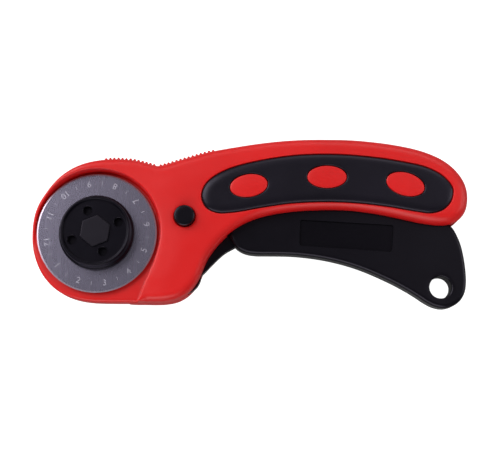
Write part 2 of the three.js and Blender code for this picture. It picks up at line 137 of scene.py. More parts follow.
LOCK_HOLE_R = LOCK_R + 0.12
LOCK_END_R = 2.8  # of the button's end
LOCK_SCOOP = (3.4, 6.6)  # radii between which the back sinks to the button's end
SCOOP_DEEP = 2.6

WALL = 2.3  # round the shells' inner room
GRIP_WALL = 2.8  # and under the inserts
RECESS_WALL = 2.2  # between the recess and the handle's room
BACK_WALL = 2.4  # and between the head's back and that room
GAP = 0.3  # round what moves, and round the grip inserts
RUN = 0.05  # of a pin, bolt or screw in its hole
ARM_LOW, ARM_HIGH = 6.2, 10.2
HEAD_ROOM = (5.9, 10.6)  # heights between which the arm swings
BOLT_ROOM_R = 7.4  # opening in the back for the bolt's head
PIN_BOSS_R = 4
SCREW_BOSS_R = 2.7

LEVER_EDGE = 1.5  # rounding of the lever's edge
PANEL_DEEP = 0.75
PANEL_WALL = 0.15  # horizontal run of the panel's border
PIN_R = 2
BOLT_SEAT_R = 5.8
BORE_R = 4  # of the blade
BEVEL_WIDE = 0.55
NUMBERS_R = 19
NUMBER_TALL = 2.3
FIRST_NUMBER_AT = 220  # degrees round the blade
HEX_TURN = 22
HEX_R = 6  # of the knob's boss, out to its corners
NUT_R = 6  # and of the steel nut in the knob
WASHER_ROOM_R = 8.2
HOLES = ((21, 9.2), (111, 8.2), (201, 9.2), (291, 8.2))  # direction and distance of the knob's holes
SCREW_R = 1
SCREW_HEAD_R = 2
SCREW_HEAD_TALL = 1.3

RIDGE_TALL = 1.15
RIDGE_HALF = 0.74  # half the width of a thumb ridge
RIDGE_LOW, RIDGE_HIGH = 4.9, 14.6

STEP = 0.45  # distance between the points of a drawn outline
FINE = STEP / 3  # and where it carries ridges
SHELL_GRID, SHELL_CLEAR = 1.5, 0.7  # steps of the grid between the lines, and its distance from them
GRID, CLEAR = 1.6, 0.8  # the same on the lever and the inserts

CAMERA_TILT = 9.5  # degrees off the vertical
CAMERA_FAR = 0.42  # metres from what it looks at
CAMERA_AIM = (0.26, -0.56)
CAMERA_LENS, CAMERA_SENSOR = 80.56, 36
FLOOR_PALE = 0.32  # how much of the light the floor returns


# ---- plane geometry ----


def corners_of(node):
    """A CAD node's triangles: their corners in mm, and the numbers of the corners once merged."""
    mesh = frame["nodes"][node].data
    mesh.calc_loop_triangles()
    at = np.array([v.co for v in mesh.vertices]) / MM
    triangles = np.array([t.vertices for t in mesh.loop_triangles])
    number = np.unique(np.round(at, 3), axis=0, return_inverse=True)[1].reshape(-1)
    return at[triangles], number[triangles]


def area(loop):
    after = np.roll(loop, -1, axis=0)
    return 0.5 * np.sum(loop[:, 0] * after[:, 1] - loop[:, 1] * after[:, 0])


def anticlockwise(loop):
    return loop if area(loop) > 0 else loop[::-1]


def without_straight(loop, least=0.004):
    """The loop without the points that lie on a straight run."""
    kept = list(loop)
    i = 0
    while i < len(kept) and len(kept) > 4:
        a, b, c = kept[i - 1], kept[i], kept[(i + 1) % len(kept)]
        run = c - a
        off = abs(run[0] * (b - a)[1] - run[1] * (b - a)[0]) / max(np.hypot(*run), 1e-9)
        if off < least or np.hypot(*(b - a)) < 1e-4:
            kept.pop(i)
            i = max(i - 1, 0)
        else:
            i += 1
    return np.array(kept)


def chains(follows):
    """The closed chains in a table of what follows what."""
    while follows:
        start = key = next(iter(follows))
        chain = []
        while key in follows:
            chain.append(key)
            key = follows.pop(key)
        if key == start:
            yield chain


def cut_loops(node, height):
    """The closed outlines where a level plane cuts a CAD node, the largest first and anticlockwise."""
    at, number = corners_of(node)
    up = at[:, :, 2] > height
    place, follows = {}, {}
    for t in np.nonzero(up.any(1) & ~up.all(1))[0]:
        ends = {}
        for i in range(3):
            j = (i + 1) % 3
            if up[t, i] != up[t, j]:
                key = tuple(sorted((number[t, i], number[t, j])))
                a, b = at[t, i], at[t, j]
                place[key] = (a + (b - a) * (height - a[2]) / (b[2] - a[2]))[:2]
                ends[bool(up[t, i])] = key
        if len(ends) == 2 and ends[True] != ends[False]:
            follows[ends[True]] = ends[False]
    rounds = [np.array([place[key] for key in chain]) for chain in chains(follows) if len(chain) > 2]
    loops = sorted(map(without_straight, rounds), key=lambda loop: -abs(area(loop)))
    if area(loops[0]) < 0:
        loops = [loop[::-1] for loop in loops]
    return loops


def hole_at(node, height, point):
    """The smallest outline round a point where a level plane cuts a CAD node."""
    round_it = [loop for loop in cut_loops(node, height) if inside(np.array([point]), loop)[0]]
    return anticlockwise(min(round_it, key=lambda loop: abs(area(loop))))


def at_even_steps(run, step, least, closed=True):
    """Points at even steps along straight runs, and at least so many. A closed run ends where it starts."""
    length = np.concatenate([[0], np.cumsum(np.hypot(*np.diff(run, axis=0).T))])
    at = np.linspace(0, length[-1], max(least, round(length[-1] / step)), endpoint=not closed)
    return np.column_stack([np.interp(at, length, run[:, k]) for k in (0, 1)])


def between(a, b, t, at_a, at_b):
    return a + (b - a) * (t - at_a) / (at_b - at_a)


def smooth_line(points, step, closed=True):
    """Points at even steps along a centripetal Catmull-Rom curve through the given ones."""
    points = np.asarray(points, float)
    if closed:
        padded = np.vstack([points[-1:], points, points[:2]])
    else:
        padded = np.vstack([2 * points[0] - points[1], points, 2 * points[-1] - points[-2]])
    dense = []
    for a, b, c, d in zip(padded, padded[1:], padded[2:], padded[3:]):
        ta = 0.0
        tb = ta + max(np.hypot(*(b - a)), 1e-6) ** 0.5
        tc = tb + max(np.hypot(*(c - b)), 1e-6) ** 0.5
        td = tc + max(np.hypot(*(d - c)), 1e-6) ** 0.5
        t = np.linspace(tb, tc, 24, endpoint=False)[:, None]
        ab, bc, cd = between(a, b, t, ta, tb), between(b, c, t, tb, tc), between(c, d, t, tc, td)
        dense.append(between(between(ab, bc, t, ta, tc), between(bc, cd, t, tb, td), t, tb, tc))
    return at_even_steps(np.vstack(dense + [points[:1] if closed else points[-1:]]), step, 8, closed)


def even_line(points, step):
    """Points at even steps round a polygon."""
    return at_even_steps(np.vstack([points, points[:1]]), step, 4)


def circle(centre, r, step=0.5):
    angle = np.linspace(0, 2 * math.pi, max(16, round(2 * math.pi * r / step)), endpoint=False)
    return np.array(centre)[:2] + r * np.column_stack([np.cos(angle), np.sin(angle)])


def inwards(loop):
    """Unit normals that point into an anticlockwise loop."""
    along = np.roll(loop, -1, axis=0) - np.roll(loop, 1, axis=0)
    along /= np.hypot(*along.T)[:, None]
    return np.column_stack([-along[:, 1], along[:, 0]])


def inset(loop, distance):
    return loop + inwards(loop) * distance


def turned(points, centre, angle):
    c, s = math.cos(angle), math.sin(angle)
    return (points - centre) @ np.array([[c, s], [-s, c]]) + centre


def inside(points, loop):
    """Which points lie inside a loop, by counting crossings."""
    result = np.zeros(len(points), bool)
    x, y = points[:, 0], points[:, 1]
    for (ax, ay), (bx, by) in zip(loop, np.roll(loop, -1, axis=0)):
        crosses = (ay > y) != (by > y)
        if crosses.any():
            result ^= crosses & (x < ax + (bx - ax) * (y - ay) / (by - ay if by != ay else 1e-12))
    return result


def distance(points, line, closed=True):
    """How far each point is from a line of straight runs."""
    ends = np.roll(line, -1, axis=0) if closed else line[1:]
    starts = line if closed else line[:-1]
    run = ends - starts
    square = np.maximum((run**2).sum(1), 1e-12)
    nearest = np.empty(len(points))
    for i in range(0, len(points), 2000):
        away = points[i : i + 2000, None] - starts[None]
        k = np.clip((away * run).sum(2) / square, 0, 1)
        nearest[i : i + 2000] = np.sqrt(((away - k[..., None] * run) ** 2).sum(2).min(1))
    return nearest


def depth_in(points, loop):
    """Distance inside a loop, negative outside."""
    return np.where(inside(points, loop), 1, -1) * distance(points, loop)


def past_line(points, line, area_past):
    """Distance past an open line into the area on one side of it, negative on the other side."""
    return np.where(inside(points, area_past), 1, -1) * distance(points, line, closed=False)


def smoothstep(value, low, high):
    t = np.clip((value - low) / (high - low), 0, 1)
    return t * t * (3 - 2 * t)


def rounding(depth, r):
    """How far a rounded edge of radius r lies below the face, at a depth in from the edge."""
    t = np.clip(depth / np.maximum(r, 1e-6), 0, 1)
    return r * (1 - np.sqrt(np.maximum(1 - (1 - t) ** 2, 0)))


# ---- mesh building ----


def flat_mesh(loops, lines, free, keep):
    """A plane triangle mesh whose edges follow closed loops and open lines, and take in the free points."""
    places, edges = [], []
    for line, closed in [(loop, True) for loop in loops] + [(line, False) for line in lines]:
        first, count = len(places), len(line)
        places += [Vector(p) for p in line]
        edges += [(first + i, first + (i + 1) % count) for i in range(count if closed else count - 1)]
    places += [Vector(p) for p in free]
    at, _, faces, *_ = geometry.delaunay_2d_cdt(places, edges, [], 0, 1e-5)
    at = np.array([tuple(p) for p in at])
    faces = np.array([f for f in faces if len(f) == 3])
    faces = faces[keep(at[faces].mean(1))]
    used = np.unique(faces)
    new = np.full(len(at), -1)
    new[used] = np.arange(len(used))
    return at[used], new[faces]


def rims(faces):
    """The closed chains of vertices along a flat mesh's free edges, in the faces' own direction."""
    edges = np.vstack([faces[:, [0, 1]], faces[:, [1, 2]], faces[:, [2, 0]]])
    known = {tuple(e) for e in edges.tolist()}
    return [np.array(chain) for chain in chains({a: b for a, b in known if (b, a) not in known})]


def grid_points(loop, step, lines, clear):
    """A triangular grid of points inside a loop, clear of the points of some lines."""
    drawn = np.vstack(lines)
    tree = KDTree(len(drawn))
    for i, p in enumerate(drawn):
        tree.insert((*p, 0), i)
    tree.balance()
    (x0, y0), (x1, y1) = loop.min(0), loop.max(0)
    rows = []
    for i, y in enumerate(np.arange(y0, y1, step * 0.866)):
        x = np.arange(x0 + (i % 2) * step / 2, x1, step)
        rows.append(np.column_stack([x, np.full(len(x), y)]))
    points = np.vstack(rows)
    points = points[inside(points, loop)]
    return points[[tree.find((*p, 0))[2] > clear for p in points]]


def placed(name, data):
    """A new object in the scene."""
    made = bpy.data.objects.new(name, data)
    bpy.context.scene.collection.objects.link(made)
    return made


def to_object(name, places, faces, sharp=32):
    """A mesh object from places in mm, smooth apart from edges sharper than an angle in degrees."""
    mesh = bpy.data.meshes.new(name)
    mesh.from_pydata([tuple(p) for p in np.asarray(places) * MM], [], faces)
    mesh.validate()
    piece = placed(name, mesh)
    tidy(piece, sharp)
    return piece


def tidy(piece, sharp=32):
    """Merges doubled vertices, points the faces out and sets smooth shading with sharp edges."""
    work = bmesh.new()
    work.from_mesh(piece.data)
    bmesh.ops.remove_doubles(work, verts=work.verts, dist=1e-7)
    bmesh.ops.dissolve_degenerate(work, edges=work.edges, dist=1e-8)
    bmesh.ops.recalc_face_normals(work, faces=work.faces)
    work.to_mesh(piece.data)
    work.free()
    piece.data.polygons.foreach_set("use_smooth", np.ones(len(piece.data.polygons), bool))
    piece.data.set_sharp_from_angle(angle=math.radians(sharp))
    piece.data.update()


def relief(name, at, faces, top, bottom, wall=None, levels=(0, 1), sharp=32):
    """A closed solid over a flat mesh, from the bottom to the top height of each vertex.

    levels are the rows of the side wall, 0 at the top and 1 at the bottom. wall(places, normals) may move
    the rows' places sideways.
    """
    count = len(at)
    places = [np.column_stack([at, top]), np.column_stack([at, bottom])]
    polygons = [tuple(f) for f in faces.tolist()] + [tuple(f[::-1] + count) for f in faces]
    total = 2 * count
    for chain in rims(faces):
        loop = at[chain]
        out = -inwards(loop)
        rows = []
        for level in levels:
            row = np.column_stack([loop, top[chain] * (1 - level) + bottom[chain] * level])
            if wall is not None:
                row[:, :2] += wall(row, out)
            if level in (0, 1):
                rows.append(chain + count * int(level))
                places[int(level)][chain] = row
            else:
                places.append(row)
                rows.append(np.arange(total, total + len(chain)))
                total += len(chain)
        for upper, lower in zip(rows, rows[1:]):
            for i in range(len(chain)):
                j = (i + 1) % len(chain)
                polygons.append((upper[i], lower[i], lower[j], upper[j]))
    return to_object(name, np.vstack(places), polygons, sharp)


def prism(loop, low, high, name="cutter"):
    """A straight solid over a loop."""
    count = len(loop)
    places = np.vstack([np.column_stack([loop, np.full(count, z)]) for z in (low, high)])
    sides = [(i, (i + 1) % count, (i + 1) % count + count, i + count) for i in range(count)]
    return to_object(name, places, [tuple(range(count))[::-1], tuple(range(count, 2 * count)), *sides])


def disc(centre, r, low, high):
    return prism(circle(centre, r, 0.4), low, high)


def turned_solid(name, profile, centre, steps=128, sharp=32):
    """A solid of revolution about a vertical axis. The profile holds pairs of radius and height."""
    angle = np.linspace(0, 2 * math.pi, steps, endpoint=False)
    places, rings = [], []
    for r, z in profile:
        if r < 1e-6:
            rings.append([len(places)])
            places.append((centre[0], centre[1], z))
        else:
            rings.append(list(range(len(places), len(places) + steps)))
            places += [(centre[0] + r * math.cos(a), centre[1] + r * math.sin(a), z) for a in angle]
    closed = profile[0][0] > 1e-6
    pairs = list(zip(rings, rings[1:])) + ([(rings[-1], rings[0])] if closed else [])
    polygons = []
    for lower, upper in pairs:
        for i in range(steps):
            j = (i + 1) % steps
            ends = ((lower, i), (lower, j), (upper, j), (upper, i))
            polygons.append(tuple(dict.fromkeys(ring[k % len(ring)] for ring, k in ends)))
    return to_object(name, places, [p for p in polygons if len(p) > 2], sharp)


def cut(piece, cutter, operation="DIFFERENCE"):
    """Cuts a piece with a solid, or joins or intersects them, and bakes the result."""
    change = piece.modifiers.new("cut", "BOOLEAN")
    change.operation = operation
    change.solver = "MANIFOLD"
    change.object = cutter
    baked = bpy.data.meshes.new_from_object(piece.evaluated_get(bpy.context.evaluated_depsgraph_get()))
    piece.modifiers.clear()
    old, piece.data = piece.data, baked
    baked.name = old.name
    bpy.data.meshes.remove(old)
    bpy.data.objects.remove(cutter)


def joined(solids):
    first, *rest = solids
    for other in rest:
        cut(first, other, "UNION")
    return first


# ---- materials ----


def node(tree, kind, **values):
    """A new shader node, with its sockets' values by name."""
    made = tree.nodes.new(f"ShaderNode{kind}")
    for key, value in values.items():
        made.inputs[key.replace("_", " ")].default_value = value
    return made


def material(name, colour, roughness, metallic=0.0, **sockets):
    """A Principled material, with further sockets by name. Returns the material, its tree and its shader."""
    made = bpy.data.materials.new(name)
    made.use_nodes = True
    shader = made.node_tree.nodes["Principled BSDF"]
    shader.inputs["Base Color"].default_value = (*colour, 1)
    shader.inputs["Roughness"].default_value = roughness
    shader.inputs["Metallic"].default_value = metallic
    for key, value in sockets.items():
        shader.inputs[key.replace("_", " ")].default_value = value
    return made, made.node_tree, shader


def own_place(tree, **change):
    """Places in the object's own metres, moved or scaled."""
    coordinates, mapping = node(tree, "TexCoord"), node(tree, "Mapping", **change)
    tree.links.new(coordinates.outputs["Object"], mapping.inputs["Vector"])
    return mapping.outputs["Vector"]


def noise(tree, scale, detail=3, stretch=(1, 1, 1)):
    texture = node(tree, "TexNoise", Scale=scale, Detail=detail)
    tree.links.new(own_place(tree, Scale=stretch), texture.inputs["Vector"])
    return texture.outputs["Fac"]


def spread(tree, source, low, high):
    """Maps a 0 to 1 output on to a range."""
    ramp = node(tree, "MapRange", To_Min=low, To_Max=high)
    tree.links.new(source, ramp.inputs["Value"])
    return ramp.outputs["Result"]


def tint(tree, source, dark, light):
    """Mixes two colours by an output."""
    ramp = node(tree, "ValToRGB")
    for stop, colour, position in zip(ramp.color_ramp.elements, (dark, light), (0.3, 0.7)):
        stop.color = (*colour, 1)
        stop.position = position
    tree.links.new(source, ramp.inputs["Fac"])
    return ramp.outputs["Color"]


def bump(tree, shader, source, depth, strength):
    """Raises the surface by an output, to a depth in metres."""
    made = node(tree, "Bump", Strength=strength, Distance=depth)
    tree.links.new(source, made.inputs["Height"])
    tree.links.new(made.outputs["Normal"], shader.inputs["Normal"])


def moulded(name, dark, light, roughness, grain, depth, **sockets):
    """Injection-moulded plastic or rubber: slight colour and gloss drift over a fine spark-eroded grain."""
    made, tree, shader = material(name, light, sum(roughness) / 2, **sockets)
    tree.links.new(tint(tree, noise(tree, 45, 2), dark, light), shader.inputs["Base Color"])
    tree.links.new(spread(tree, noise(tree, 160, 4), *roughness), shader.inputs["Roughness"])
    bump(tree, shader, noise(tree, grain), depth, 0.35)
    return made


def brushed(name, colour, roughness, centre, streak):
    """Metal ground round a centre: fine rings of slightly different gloss, with faint upright streaks."""
    made, tree, shader = material(name, colour, roughness, 1.0)
    rings = node(tree, "TexWave", Scale=streak, Distortion=4, Detail=4, Detail_Scale=3)
    rings.wave_type = "RINGS"
    rings.rings_direction = "Z"
    there = own_place(tree, Location=(-centre[0] * MM, -centre[1] * MM, 0))
    tree.links.new(there, rings.inputs["Vector"])
    streaks = noise(tree, 90, 2, (7, 1, 1))
    worn = spread(tree, streaks, roughness - 0.012, roughness + 0.018)
    tree.links.new(worn, shader.inputs["Roughness"])
    shade = tint(tree, rings.outputs["Fac"], tuple(0.96 * c for c in colour), colour)
    tree.links.new(shade, shader.inputs["Base Color"])
    bump(tree, shader, rings.outputs["Fac"], 0.000001, 0.05)
    return made


def plated(name, colour, roughness):
    """Zinc-plated steel with a faint mottle."""
    made, tree, shader = material(name, colour, roughness, 1.0)
    mottle = noise(tree, 700, 5)
    shade = tint(tree, mottle, tuple(0.82 * c for c in colour), colour)
    tree.links.new(shade, shader.inputs["Base Color"])
    tree.links.new(spread(tree, mottle, roughness - 0.06, roughness + 0.1), shader.inputs["Roughness"])
    bump(tree, shader, mottle, 0.00001, 0.4)
    return made


INKY = (0.88, 0.80, 1, 1)  # cast of the light that black mouldings return


def black(name, dark, light, roughness, gloss, grain=3000, depth=0.00003):
    return moulded(name, dark, light, roughness, grain, depth, Specular_IOR_Level=gloss, Specular_Tint=INKY)


RED = moulded(
    "red_plastic", (0.50, 0.0045, 0.0045), (0.54, 0.006, 0.006), (0.35, 0.45), 2600, 0.00003,
    Specular_IOR_Level=0.33, Subsurface_Weight=0.35, Subsurface_Radius=(1, 0.06, 0.08),
    Subsurface_Scale=0.0016,
)
RUBBER = black(
    "grip_rubber", (0.002, 0.0016, 0.0034), (0.0034, 0.0028, 0.0054), (0.31, 0.4), 0.27, 5200, 0.00005
)
BLACK = black("black_plastic", (0.0014, 0.0012, 0.0022), (0.0024, 0.0021, 0.0034), (0.25, 0.34), 0.2)
PANEL_BLACK = black(
    "black_panel_plastic", (0.001, 0.0008, 0.0016), (0.0016, 0.0014, 0.0024), (0.25, 0.34), 0.14
)
KNOB = black("black_knob_plastic", (0.0012, 0.001, 0.0022), (0.0022, 0.0019, 0.0036), (0.26, 0.36), 0.15)
KNOB_MARK = black("black_knob_mark", (0.004, 0.0034, 0.0052), (0.0054, 0.0047, 0.0068), (0.36, 0.46), 0.2)
BLADE = brushed("blade_steel", (0.31, 0.285, 0.385), 0.27, BLADE_AT, 900)
BEVEL = brushed("blade_ground_edge", (0.36, 0.30, 0.37), 0.40, BLADE_AT, 2500)
MARKS = plated("blade_marks", (0.44, 0.42, 0.50), 0.42)
STEEL = plated("zinc_plated_steel", (0.62, 0.63, 0.66), 0.30)


# ---- finishing ----


def finish_piece(piece, body, coat, slot, *nodes):
    """Gives a piece its material and its body, and hides the CAD nodes it stands for. slot is not used."""
    piece.data.materials.clear()
    piece.data.materials.append(coat)
    if body:
        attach(piece, body)
    if nodes:
        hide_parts(*nodes)


def second_coat(piece, coat, chosen):
    """Gives a piece's faces another material where chosen says yes to their middles, in mm."""
    piece.data.materials.append(coat)
    faces = piece.data.polygons
    middles = np.array([face.center for face in faces]) / MM
    for i in np.nonzero(chosen(middles))[0]:
        faces[int(i)].material_index = 1


# ---- outlines from the CAD ----

OUTLINE_AT = 4.88  # height where the shells have no ridges, gap or step


def spaced(loop, least):
    kept = [loop[0]]
    for p in loop[1:]:
        if np.hypot(*(p - kept[-1])) > least:
            kept.append(p)
    return np.array(kept)


def smooth_loop(loop, step=STEP, least=1.0):
    return smooth_line(spaced(loop, least), step)


def beside(line, offset):
    """An open line moved to its left."""
    along = np.gradient(line, axis=0)
    along /= np.hypot(*along.T)[:, None]
    return line + offset * np.column_stack([-along[:, 1], along[:, 0]])


def stretches(loop, chosen):
    """The runs of chosen points in a loop, each with the point before and the one after it."""
    for start in (i for i in range(len(loop)) if chosen[i] and not chosen[i - 1]):
        count = 2 + int(np.argmin(np.roll(chosen, -start)))
        yield np.roll(loop, 1 - start, axis=0)[:count]


def inner_line(node, height):
    """The stretch of a cut's outer edge that runs inside the body's outline, carried on past both ends."""
    loop = cut_loops(node, height)[0]
    stretch = next(stretches(loop, depth_in(loop, BODY) > 0.3))
    line = smooth_line(spaced(stretch, 0.5), STEP, closed=False)
    runs = [line[0] - line[1], line[-1] - line[-2]]
    ends = [end + 4 * run / np.hypot(*run) for end, run in zip((line[0], line[-1]), runs)]
    return np.vstack([ends[0], line, ends[1]])


def region(loops, lines, keep):
    """The outline of what is kept of the plane between some loops and lines."""
    at, faces = flat_mesh(loops, lines, np.empty((0, 2)), keep)
    return anticlockwise(max((at[chain] for chain in rims(faces)), key=lambda loop: abs(area(loop))))


def swept(loop, gap):
    """The outline that a loop sweeps over, a gap clear, as the lever is squeezed."""
    loops = [turned(inset(loop, -gap), PIVOT_AT, SWING * i / 4) for i in range(5)]
    return region(loops, [], lambda p: np.any([inside(p, loop) for loop in loops], axis=0))


full = smooth_loop(cut_loops("rear_shell", OUTLINE_AT)[0], FINE)
BODY = full[::3]
ridged = cut_loops("front_shell", FLOOR_TOP - 0.2)[0]
TIPS = ridged[depth_in(ridged, BODY) < -RIDGE_TALL / 3]
by_ridges = distance(full, TIPS, closed=False) < 1.7
OUTLINE = full[by_ridges | (np.arange(len(full)) % 3 == 0)]
GRIP = smooth_loop(cut_loops("front_grip_insert", BODY_TOP - 0.4)[0])
OVALS = [smooth_loop(loop, 0.3, 0.4) for loop in cut_loops("front_shell", BODY_TOP + 0.03)[:3]]

HEAD_FAR = BODY.min(0) - 40  # beyond the head's free side
RECESS = inner_line("front_shell", FLOOR_TOP + 0.25)
RECESS_AREA = np.vstack([RECESS, HEAD_FAR])
BACK_STEP = inner_line("rear_shell", 2.6)
if BACK_STEP[0][1] < BACK_STEP[-1][1]:
    BACK_STEP = BACK_STEP[::-1]
HEAD_AREA = np.vstack([BACK_STEP, HEAD_FAR, HEAD_FAR * (1, -1)])

TRIGGER, BOSS = [smooth_loop(loop) for loop in cut_loops("trigger_lever", LEVER_HIGH - 2)[:2]]
PANEL = anticlockwise(cut_loops("trigger_lever", LEVER_HIGH - 0.2)[1])
IN_ARM = 8  # a height inside the arm
ARM = cut_loops("trigger_lever", IN_ARM)[0]
HANG_R = np.hypot(*(hole_at("trigger_lever", IN_ARM, HANG_AT)[0] - HANG_AT))


# ---- the shells ----


def samples(loop, drawn, holes):
    """The flat mesh inside a loop and outside some holes, along drawn loops and a grid between them."""
    free = grid_points(loop, GRID, drawn, CLEAR)
    return flat_mesh(
        drawn, [], free, lambda p: inside(p, loop) & ~np.any([inside(p, hole) for hole in holes], axis=0)
    )


def shell_samples(lines, loops):
    """The flat mesh under a shell's face: rings in from the edge, feature lines, and a grid between them."""
    drawn = [OUTLINE, *[inset(BODY, depth) for depth in EDGE_ROWS], *loops]
    free = grid_points(BODY, SHELL_GRID, [*drawn, *lines], SHELL_CLEAR)
    return flat_mesh(drawn, lines, free, lambda p: inside(p, OUTLINE))


def edge_radius(p, width):
    """Rounding of the outer edge: larger towards the end of the handle, and no more than a lip can carry."""
    along = (p[:, 0] - BODY[:, 0].min()) / np.ptp(BODY[:, 0])
    wanted = EDGE_HEAD + (EDGE_END - EDGE_HEAD) * smoothstep(along, 0.3, 0.95)
    return np.clip(0.62 * width, 0.7, wanted)


def wall_shape(row, out):
    """Moves a side wall out at the thumb ridges, and in a little at the seam."""
    away = np.hypot(*(row[:, None, :2] - TIPS[None]).transpose(2, 0, 1)).min(1)
    across = np.abs(row[:, None, 0] - TIPS[None, :, 0]).min(1)
    bumps = np.cos(np.minimum(across / RIDGE_HALF, 1) * math.pi / 2) ** 0.8 * (away < 2)
    z = row[:, 2]
    ends = smoothstep(z, RIDGE_LOW - 0.4, RIDGE_LOW + 0.5)
    ends = ends * (1 - smoothstep(z, RIDGE_HIGH - 0.5, RIDGE_HIGH + 0.4))
    seam = 0.13 * (1 - smoothstep(np.abs(z - SPLIT), SEAM, SEAM + 0.25))
    return out * (RIDGE_TALL * bumps * ends - seam)[:, None]


def stepped(into, low, brink, high):
    """Heights across a moulded step: low past its foot, a wall up to its brink, and high beyond."""
    up = np.clip(-into / DRAFT, 0, 1)
    return np.where(into >= 0, low, np.where(up < 1, low * (1 - up) + brink * up, high))


def front_height(p):
    """Height of the front shell's face: lip, recess round the blade, button's hole and pocket."""
    depth = np.maximum(depth_in(p, BODY), 0)
    into = past_line(p, RECESS, RECESS_AREA)
    floor = FLOOR_TOP - rounding(depth, EDGE_FLOOR)
    angle = np.degrees(np.arctan2(*(p - BLADE_AT).T[::-1]))
    falls = smoothstep(np.where(angle < -100, angle + 360, angle), *LIP_FALLS)
    top = BODY_TOP - CROWN * (1 - smoothstep(depth, 2, 10)) - DIP * (1 - smoothstep(-into, -3, 9))
    top = top - (BODY_TOP - DIP - FLOOR_TOP) * falls * (1 - smoothstep(-into, 6, 14))
    width = depth + np.maximum(-into, 0)
    crest = np.minimum(CREST, 0.4 * width)
    side = np.maximum(top - rounding(depth, edge_radius(p, width)), floor)
    foot = np.minimum(floor + rounding(into, FOOT), np.maximum(side - 0.1, floor))
    high = np.maximum(side - rounding(-into - DRAFT, crest), floor)
    height = stepped(into, foot, np.maximum(side - crest, foot), high)
    rim = np.hypot(*(p - LOCK_AT).T) - LOCK_HOLE_R
    height -= np.where(rim < 0, 0.5, rounding(rim, 0.5))
    return pocketed(p, height, BODY_TOP - POCKET, BODY_TOP + 0.2, 0.22, -1)


def pocketed(p, height, floor, oval_top, dome, facing):
    """Sinks the grip's pocket into a face, with the ovals standing in it. facing is -1 for the front."""
    into = depth_in(p, GRIP) + GAP
    edge = rounding(-into, 0.3) * facing
    up = np.clip(into / DRAFT, 0, 1)
    brink = height + 0.3 * facing
    height = np.where(into <= 0, height + edge, np.where(up < 1, brink * (1 - up) + floor * up, floor))
    for oval in OVALS:
        deep = depth_in(p, oval)
        crown = oval_top - facing * dome * smoothstep(deep, 0, 4)
        foot = np.clip(1 + deep / DRAFT, 0, 1)
        standing = crown + facing * rounding(deep, INSERT_EDGE)
        height = np.where(deep > -DRAFT, floor * (1 - foot) + standing * foot, height)
    return height


def step_lines(line, low_side):
    """Lines beside a step for its fillet, wall and crest. low_side is 1 for a low side on the line's left."""
    offsets = [FOOT * k for k in (1, 0.7, 0.42, 0.2, 0.07, 0)]
    offsets += [-DRAFT - CREST * k for k in (0, 0.04, 0.13, 0.27, 0.45, 0.7, 1)] + [-2.6, -4.2, -6.5]
    return [beside(line, low_side * d) for d in offsets]


def low_side_of(line, low_area):
    """1 where the low area lies on the line's left, and -1 on its right."""
    probe = beside(line, 1)[len(line) // 2]
    return 1 if inside(probe[None], low_area)[0] else -1


def pocket_loops():
    rims = [inset(GRIP, d - GAP) for d in (-0.3, -0.2, -0.1, 0, DRAFT)]
    return rims + [inset(oval, d) for oval in OVALS for d in (-DRAFT, 0, 0.07, 0.18, INSERT_EDGE, 1.2, 2.4)]


WALL_LEVELS = [*np.linspace(0, 1, 15)[:-1].round(4).tolist(), 0.965, 0.985, 1]


def screws():
    """Each shell screw's place, the height of the back it is sunk in, and the height of its tip."""
    for name in SCREWS:
        low, high = heights(name)
        yield middle_of(name)[:2], (HEAD_BACK if low > HEAD_BACK else 0), high


def lever_room():
    """What the lever sweeps through, with clearance: its trigger, its arm and its boss."""
    return joined([
        prism(swept(TRIGGER, GAP + 0.05), LEVER_LOW - GAP, LEVER_HIGH + GAP),
        prism(swept(arm_outline(), GAP + 0.05), *HEAD_ROOM),
        prism(swept(BOSS, 0.5), IN_ARM, LEVER_HIGH + 1),
    ])


def arm_outline():
    """The arm's edge from where it leaves the trigger to where it comes back, closed through the trigger."""
    edge = max(stretches(ARM, depth_in(ARM, TRIGGER) < -0.05), key=len)
    middle = (edge[0] + edge[-1]) / 2 + (4, 0)
    edge = np.vstack([edge[:1] * 0.8 + middle * 0.2, edge[1:-1], edge[-1:] * 0.8 + middle * 0.2])
    return np.vstack([smooth_line(spaced(edge, 0.3), 0.5, closed=False), middle])


def inner_room(step_wall, corners, shallow, deep):
    """A shell's inner room: shallow under the head, and deep in the handle as far as the step's wall."""
    outline = inset(BODY, WALL + 0.1)
    head = np.vstack([step_wall, *corners])
    handle = region([outline], [step_wall], lambda p: inside(p, outline) & ~inside(p, head))
    return joined([prism(inset(BODY, WALL), *shallow), prism(handle, *deep)])


def hollowed(shell, node, room, bosses, holes):
    """A shell with its room cut out round its bosses, then the lever's room and the holes."""
    for boss in bosses:
        cut(room, boss)
    cut(shell, room)
    cut(shell, joined([lever_room(), *holes]))
    tidy(shell)
    finish_piece(shell, "housing", RED, "red_plastic", node)


